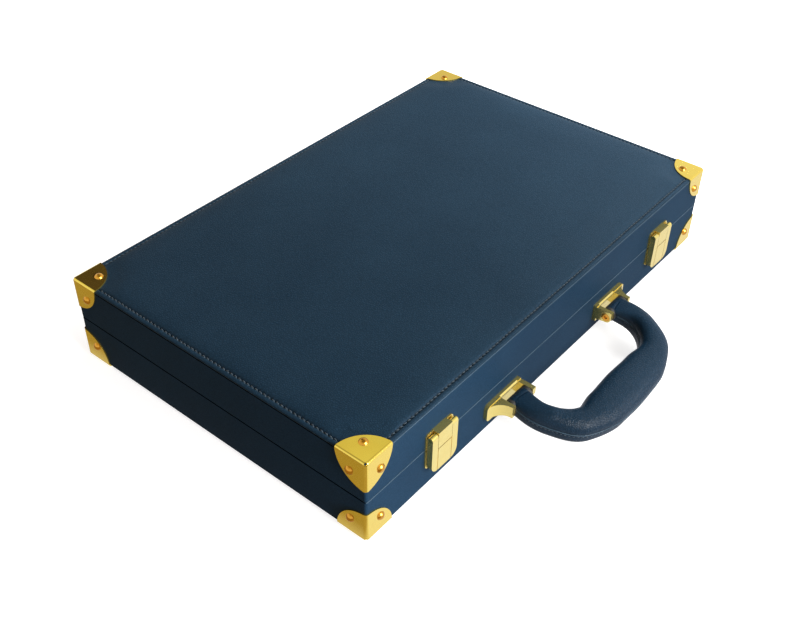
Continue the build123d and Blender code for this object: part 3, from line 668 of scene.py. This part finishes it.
def smooth_curve(points, shares):
    """Places and directions on a natural cubic spline through the points."""
    data = np.array([tuple(p) for p in points])
    knots = np.concatenate([[0.0], np.cumsum(np.linalg.norm(np.diff(data, axis=0), axis=1))])
    n = len(knots)
    matrix = np.eye(n)
    right = np.zeros_like(data)
    steps = np.diff(knots)
    for i in range(1, n - 1):
        matrix[i, i - 1:i + 2] = (steps[i - 1], 2 * (steps[i - 1] + steps[i]), steps[i])
        slopes = np.diff(data[i - 1:i + 2], axis=0) / steps[i - 1:i + 1, None]
        right[i] = 6 * (slopes[1] - slopes[0])
    bends = np.linalg.solve(matrix, right)
    made = []
    for share in shares:
        at = share * knots[-1]
        i = min(int(np.searchsorted(knots, at, side="right")) - 1, n - 2)
        h = steps[i]
        a = (knots[i + 1] - at) / h
        b = (at - knots[i]) / h
        place = a * data[i] + b * data[i + 1]
        place += ((a**3 - a) * bends[i] + (b**3 - b) * bends[i + 1]) * h * h / 6
        slope = (data[i + 1] - data[i]) / h
        slope += ((3 * b * b - 1) * bends[i + 1] - (3 * a * a - 1) * bends[i]) * h / 6
        made.append((Vector(place), Vector(slope).normalized()))
    return made


def handle_half_width(share):
    steps = len(HANDLE_WIDTHS) - 1
    place = abs(2 * share - 1) * steps
    i = min(int(place), steps - 1)
    t = smoothstep(0, 1, place - i)
    return (HANDLE_WIDTHS[i] + (HANDLE_WIDTHS[i + 1] - HANDLE_WIDTHS[i]) * t) / 2


def fullness(share):
    """How far the handle has filled out: nothing at its ends, all of it past them."""
    return min(1.0, min(share, 1 - share) / HANDLE_END_SHARE)


def dome_section(share):
    """(across, up) points over the padded grip, boxy at the ends, with its edges tucked in."""
    half = handle_half_width(share)
    full = fullness(share)
    end = HANDLE_EYE - HANDLE_SEAM_RISE
    top = end + (DOME_HEIGHT - end) * full
    round_across = DOME_BOXY + DOME_ROUND_ACROSS * full
    round_up = DOME_BOXY + DOME_ROUND_UP * full
    points = [(-half + inward, up) for inward, up in DOME_EDGE]
    for i in range(1, DOME_STEPS):
        angle = math.pi * (1 - i / DOME_STEPS)
        across = half * math.copysign(abs(math.cos(angle)) ** round_across, math.cos(angle))
        points.append((across, top * math.sin(angle) ** round_up))
    points += [(half - inward, up) for inward, up in reversed(DOME_EDGE)]
    return points + [(0.0, DOME_UNDER)]


def band_section(share):
    """(across, up) points round the flat band under the grip."""
    end = HANDLE_EYE + HANDLE_SEAM_RISE
    low = -end - (BAND_DEPTH - end) * fullness(share)
    side = handle_half_width(share) - BAND_INSET
    points = [(-side + inward, up) for inward, up in BAND_TOP_EDGE]
    points += [(-side + inward, low + up) for inward, up in BAND_LOW_EDGE]
    bottom = [(-side * BAND_FLAT, low), (0.0, low), (side * BAND_FLAT, low)]
    mirrored = [(-x, z) for x, z in reversed(points)]
    return points + bottom + mirrored


def piping_section(side, share):
    """(across, up) points round the thin piping in the seam of one side."""
    middle = side * (handle_half_width(share) - PIPING_INSET)
    return [(middle + u, PIPING_LEVEL + v) for u, v in circle(PIPING_RADIUS, PIPING_SIDES)]


def seat(point):
    """From the level handle's millimetres, about its pivots, to its drooped place."""
    turned = Matrix.Rotation(math.radians(HANDLE_DROOP), 4, "X") @ (Vector(point) * MM)
    return turned + Vector((0, PIVOT_Y, PIVOT_Z))


def sweep(section, first=0.0, last=1.0):
    """Closed skin of a section carried along part of the handle's path."""
    shares = [first + (last - first) * i / HANDLE_STEPS for i in range(HANDLE_STEPS + 1)]
    rings = []
    for share, (place, direction) in zip(shares, smooth_curve(path_points(), shares)):
        across = Vector((-direction.y, direction.x))
        ring = []
        for u, z in section(share):
            flat = place + across * u
            ring.append(seat((flat.x, flat.y, z + HANDLE_SEAM_RISE)))
        rings.append(ring)
    skin = ([], [])
    add_tube(skin, rings)
    return skin


def make_handle(materials):
    grip = make_piece("handle_grip_padded", sweep(dome_section), materials["handle"], "handle")
    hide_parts("handle_grip")
    band = make_piece("handle_band_leather", sweep(band_section), materials["handle"], "handle")
    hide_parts("handle_band")
    for name, side in (("outer", -1), ("inner", 1)):
        skin = sweep(partial(piping_section, side), *PIPING_SPAN)
        piping = make_piece("handle_piping_painted_highlight_" + name, skin, materials["piping"], "handle")
    make_handle_ends(materials)
    make_handle_stitches(materials)


def make_handle_ends(materials):
    """Leather turned round both eyes, between the ears of the brackets."""
    skin = ([], [])
    width = 2 * HANDLE_EYE_HALF
    profile = list(WRAP_EDGE)
    profile += [(width - along, radius) for along, radius in reversed(WRAP_EDGE)]
    for side in (-1, 1):
        start = side * HANDLE_PATH[0][0] - HANDLE_EYE_HALF
        rings = []
        for along, radius in profile:
            rings.append([seat((start + along, y, z)) for y, z in circle(radius, WRAP_SIDES)])
        add_tube(skin, rings, looped=True)
    piece = make_piece("handle_end_wraps", skin, materials["handle"], "handle")


def make_handle_stitches(materials):
    """A fine row of stitches on the band, just below the seam, on both sides."""
    skin = ([], [])
    level = HANDLE_SEAM_RISE - HANDLE_STITCH_DROP
    shares = [HANDLE_STITCH_START + HANDLE_STITCH_SPAN * (i + 0.5) / HANDLE_STITCHES
              for i in range(HANDLE_STITCHES)]
    for share, (place, direction) in zip(shares, smooth_curve(path_points(), shares)):
        across = Vector((-direction.y, direction.x))
        half = handle_half_width(share)
        for side in (-1, 1):
            flat = place + across * side * (half + HANDLE_STITCH_OUT)
            low = seat((flat.x, flat.y, level))
            ahead = seat((flat.x + direction.x, flat.y + direction.y, level)) - low
            out = seat((flat.x + across.x * side, flat.y + across.y * side, level)) - low
            add_bead(skin, low, ahead, out.normalized(), HANDLE_STITCH_LENGTH, HANDLE_STITCH_RADIUS)
    piece = make_piece("handle_stitches", skin, materials["thread"], "handle")


# Playing pieces
def cube_faces():
    """Rotations that bring +Z to each face of a cube, opposite faces adding up to seven."""
    return {
        1: Matrix.Identity(3),
        6: Matrix.Rotation(math.pi, 3, "X"),
        2: Matrix.Rotation(math.pi / 2, 3, "Y"),
        5: Matrix.Rotation(-math.pi / 2, 3, "Y"),
        3: Matrix.Rotation(math.pi / 2, 3, "X"),
        4: Matrix.Rotation(-math.pi / 2, 3, "X"),
    }


def node_islands(name):
    """Middle and half size of each separate solid of a CAD node, in the order of its points."""
    bm = bmesh.new()
    bm.from_mesh(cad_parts[name].data)
    bmesh.ops.remove_doubles(bm, verts=bm.verts, dist=WELD_REACH)
    left = set(bm.verts)
    found = []
    for start in bm.verts:
        if start not in left:
            continue
        left.remove(start)
        stack = [start]
        low = start.co.copy()
        high = start.co.copy()
        while stack:
            vert = stack.pop()
            for i in range(3):
                low[i] = min(low[i], vert.co[i])
                high[i] = max(high[i], vert.co[i])
            for edge in vert.link_edges:
                other = edge.other_vert(vert)
                if other in left:
                    left.remove(other)
                    stack.append(other)
        found.append(((low + high) / 2, (high - low) / 2))
    bm.free()
    return found


def make_pips(materials):
    """Flat round pips inked on the dice."""
    skin = ([], [])
    for number, (middle, half) in enumerate(node_islands("dice")):
        spin = Matrix.Rotation(math.pi / 2 * number, 3, "Y")
        for pips, turn in cube_faces().items():
            for u, v in DIE_PIPS[pips]:
                spot = Vector((u * half.x * PIP_SPREAD, v * half.x * PIP_SPREAD, half.x))
                rings = []
                for radius, rise in PIP_RINGS:
                    points = [spot + Vector((x, y, rise)) for x, y in circle(radius, PIP_SIDES)]
                    rings.append([middle + spin @ (turn @ point) for point in points])
                add_tube(skin, rings)
    piece = make_piece("dice_pips", skin, materials["ink"], "base", smooth=False)


def make_cube_numbers(materials):
    """The powers of two inked on the doubling cube."""
    low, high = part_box("doubling_cube")
    middle = (Vector(low) + Vector(high)) / 2
    half = (high[2] - low[2]) / 2
    for turn, power in zip(cube_faces().values(), CUBE_NUMBERS):
        curve = bpy.data.curves.new("cube_number_" + power, "FONT")
        curve.body = power
        curve.size = NUMBER_SIZE
        curve.align_x = "CENTER"
        curve.align_y = "CENTER"
        curve.extrude = NUMBER_RISE
        curve.materials.append(materials["ink"])
        piece = bpy.data.objects.new("cube_number_" + power, curve)
        bpy.context.scene.collection.objects.link(piece)
        piece.matrix_world = Matrix.Translation(middle + turn @ Vector((0, 0, half))) @ turn.to_4x4()
        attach(piece, "base")


def make_cup_trims(materials):
    """Rolled leather rims and felt linings of the two dice cups."""
    rims = ([], [])
    linings = ([], [])
    for middle, half in node_islands("dice_cups"):
        way = math.copysign(1.0, middle.x)
        mouth = middle.x + way * half.x
        rim = half.z - RIM_INSET
        roll = [(way * RIM_ALONG * u, rim + RIM_ACROSS * v) for u, v in circle(1.0, RIM_STEPS)]
        add_turned(rims, mouth, middle, roll)
        outside = half.z - CUP_WALL - LINING_GAP
        inside = half.z - CUP_WALL - LINING_REACH
        depth = 2 * half.x - CUP_BOTTOM
        bottom = -way * depth
        floor = -way * (depth - LINING_FLOOR)
        lining = [(0.0, outside), (bottom, outside), (bottom, LINING_HOLE),
                  (floor, LINING_HOLE), (floor, inside), (0.0, inside)]
        add_turned(linings, mouth, middle, lining)
    piece = make_piece("dice_cup_rims", rims, materials["cup"], "base")
    piece = make_piece("dice_cup_linings", linings, materials["lining"], "base", smooth=False)


def add_turned(skin, mouth, middle, profile):
    """Adds a shape turned about a cup's axis, from its (along, radius) profile."""
    rings = []
    for along, radius in profile:
        points = circle(radius, CUP_SIDES)
        rings.append([(mouth + along, middle.y + y, middle.z + z) for y, z in points])
    add_tube(skin, rings, looped=True)


# CAD nodes that stay, with their materials
def dress(material, *nodes):
    for name in nodes:
        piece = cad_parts[name]
        piece.data.materials.clear()
        piece.data.materials.append(material)


def dress_nodes(materials):
    walls = [side + "_wall" for side in ("front", "back", "left", "right")]
    corners = [f"corner_{depth}_{side}" for depth in ("front", "back") for side in ("left", "right")]
    for half in ("base", "lid"):
        dress(materials["frame_wood"], *[f"{half}_{wall}" for wall in walls])
        dress(materials["case"], half + "_leatherette_wrap", half + "_tray_divider")
        dress(materials["field"], half + "_playing_field")
        dress(materials["cream"], half + "_points_light")
        dress(materials["navy"], half + "_points_dark")
        dress(materials["brass"], *[f"{half}_{corner}" for corner in corners])
        dress(materials["brass"], "hinge_leaves_" + half, "hinge_screws_" + half)
        dress(materials["nail"], half + "_corner_nails")
    for side in ("left", "right"):
        dress(materials["fittings"], "latch_body_" + side, "latch_flap_" + side, "latch_catch_" + side)
        dress(materials["fittings"], "handle_bracket_" + side)
    dress(materials["frame_wood"], "base_bottom_panel", "lid_top_panel")
    dress(materials["case"], "base_underside_sheet")
    dress(materials["brass"], "hinge_pins", "latch_pins")
    dress(materials["nail"], "latch_body_rivets", "latch_catch_rivets", "handle_pivot_screws")
    dress(materials["steel"], "handle_bracket_screws")
    dress(materials["stiffener"], "handle_core")
    dress(materials["ivory"], "checkers_light")
    dress(materials["blue"], "checkers_dark")
    dress(materials["dice"], "dice", "doubling_cube")
    dress(materials["cup"], "dice_cups")


# Studio
def make_floor():
    """Matt paper that takes the shadow, glows to the camera, and shows metal a painted shadow on its
    left.
    """
    mesh = bpy.data.meshes.new("floor")
    corners = ((-1, -1), (1, -1), (1, 1), (-1, 1))
    verts = [(x * FLOOR_REACH, y * FLOOR_REACH, FLOOR_Z) for x, y in corners]
    mesh.from_pydata(verts, [], [(0, 1, 2, 3)])
    s = Shader("floor_paper")
    s.set(Roughness=0.9, Specular_IOR_Level=0.0)
    rays = s.node("LightPath")
    mirrored = rays.outputs["Is Glossy Ray"]
    matt = s.math("SUBTRACT", FLOOR_SHADE, s.math("MULTIPLY", mirrored, FLOOR_SHADE))
    s.link(matt, s.surface.inputs["Base Color"])
    distance = s.node("VectorMath", operation="LENGTH")
    s.link(s.place, distance.inputs[0])
    glow = s.spread(distance.outputs["Value"], *FLOOR_GLOW, *FLOOR_GLOW_REACH)
    seen = s.math("MAXIMUM", rays.outputs["Is Camera Ray"], rays.outputs["Is Transmission Ray"])
    strength = s.math("ADD", s.math("MULTIPLY", seen, glow), mirrored)
    s.link(strength, s.surface.inputs["Emission Strength"])
    across = s.node("SeparateXYZ")
    s.link(s.place, across.inputs["Vector"])
    # Metal sees the floor dark and orange to the left: a painted shadow of the case
    side = s.spread(across.outputs["X"], 0.0, 1.0, *FLOOR_SPLIT)
    painted_shadow_tint = s.node("MixRGB")
    painted_shadow_tint.inputs["Color1"].default_value = (*WHITE, 1.0)
    s.link(mirrored, painted_shadow_tint.inputs["Fac"])
    s.link(s.ramp(side, [(0.0, FLOOR_LEFT_PAINTED_SHADOW), (1.0, FLOOR_FRONT)]), painted_shadow_tint.inputs["Color2"])
    s.link(painted_shadow_tint.outputs["Color"], s.surface.inputs["Emission Color"])
    mesh.materials.append(s.material)
    floor = bpy.data.objects.new("floor", mesh)
    bpy.context.scene.collection.objects.link(floor)


def make_world():
    """Dim to matt surfaces; metal sees a room that darkens upward, with three darker panels."""
    world = bpy.data.worlds.new("studio")
    bpy.context.scene.world = world
    world.use_nodes = True
    world.node_tree.nodes.clear()
    s = NodeTree(world.node_tree)
    direction = s.node("TexCoord").outputs["Generated"]
    split = s.node("SeparateXYZ")
    s.link(direction, split.inputs["Vector"])
    room = s.ramp(split.outputs["Z"], ROOM_SHADES, "EASE")
    for panel, inner, outer, shade in DARK_PANELS:
        toward = s.node("VectorMath", operation="DOT_PRODUCT")
        toward.inputs[1].default_value = Vector(panel).normalized()
        s.link(direction, toward.inputs[0])
        edges = [(math.cos(math.radians(outer)), WHITE), (math.cos(math.radians(inner)), shade)]
        room = s.multiply(room, s.ramp(toward.outputs["Value"], edges, "EASE"))
    ambient = s.node("Background")
    ambient.inputs["Color"].default_value = (*AMBIENT, 1.0)
    reflected = s.node("Background")
    s.link(room, reflected.inputs["Color"])
    white = s.node("Background")
    white.inputs["Color"].default_value = (*WHITE, 1.0)
    rays = s.node("LightPath")
    mirrored = s.math("MAXIMUM", rays.outputs["Is Glossy Ray"], rays.outputs["Is Transmission Ray"])
    surface = ambient.outputs["Background"]
    for chosen, background in ((mirrored, reflected), (rays.outputs["Is Camera Ray"], white)):
        mix = s.node("MixShader")
        s.link(chosen, mix.inputs["Fac"])
        s.link(surface, mix.inputs[1])
        s.link(background.outputs["Background"], mix.inputs[2])
        surface = mix.outputs["Shader"]
    s.link(surface, s.node("OutputWorld").inputs["Surface"])


def place_lamp(lamp, place, aim, in_metal):
    """Puts a lamp in its place, turned to its aim; in_metal says whether metal shows it."""
    holder = bpy.data.objects.new(lamp.name, lamp)
    bpy.context.scene.collection.objects.link(holder)
    holder.visible_glossy = in_metal
    holder.location = place
    holder.rotation_euler = (Vector(aim) - Vector(place)).to_track_quat("-Z", "Y").to_euler()
    return holder


def make_lamps():
    """Square lamps over the case, and a soft beam that lightens the front near the corner."""
    for name, place, size, energy, in_metal in LAMPS:
        lamp = bpy.data.lights.new(name, "AREA")
        lamp.shape = "SQUARE"
        lamp.size = size
        lamp.energy = energy
        holder = place_lamp(lamp, place, (0, 0, 0), in_metal)
        holder.visible_camera = False
    beam = bpy.data.lights.new("front_spot", "SPOT")
    beam.energy = SPOT_ENERGY
    beam.spot_size = math.radians(SPOT_ANGLE)
    beam.spot_blend = 1.0
    beam.shadow_soft_size = SPOT_SOFTNESS
    place_lamp(beam, SPOT_PLACE, SPOT_AIM, False)


def make_camera():
    data = bpy.data.cameras.new("photo_camera")
    data.sensor_width = CAMERA_SENSOR
    data.lens = CAMERA_LENS
    data.clip_start = CAMERA_NEAR
    camera = bpy.data.objects.new("photo_camera", data)
    bpy.context.scene.collection.objects.link(camera)
    camera.location = CAMERA_PLACE
    camera.rotation_euler = [math.radians(angle) for angle in CAMERA_TURN]
    bpy.context.scene.camera = camera


make_camera()
materials = make_materials()
dress_nodes(materials)
make_cover(materials)
make_cover_stitches(materials)
make_folds(materials)
make_handle(materials)
make_pips(materials)
make_cube_numbers(materials)
make_cup_trims(materials)
make_floor()
make_world()
make_lamps()
bpy.context.scene.view_settings.view_transform = "Standard"
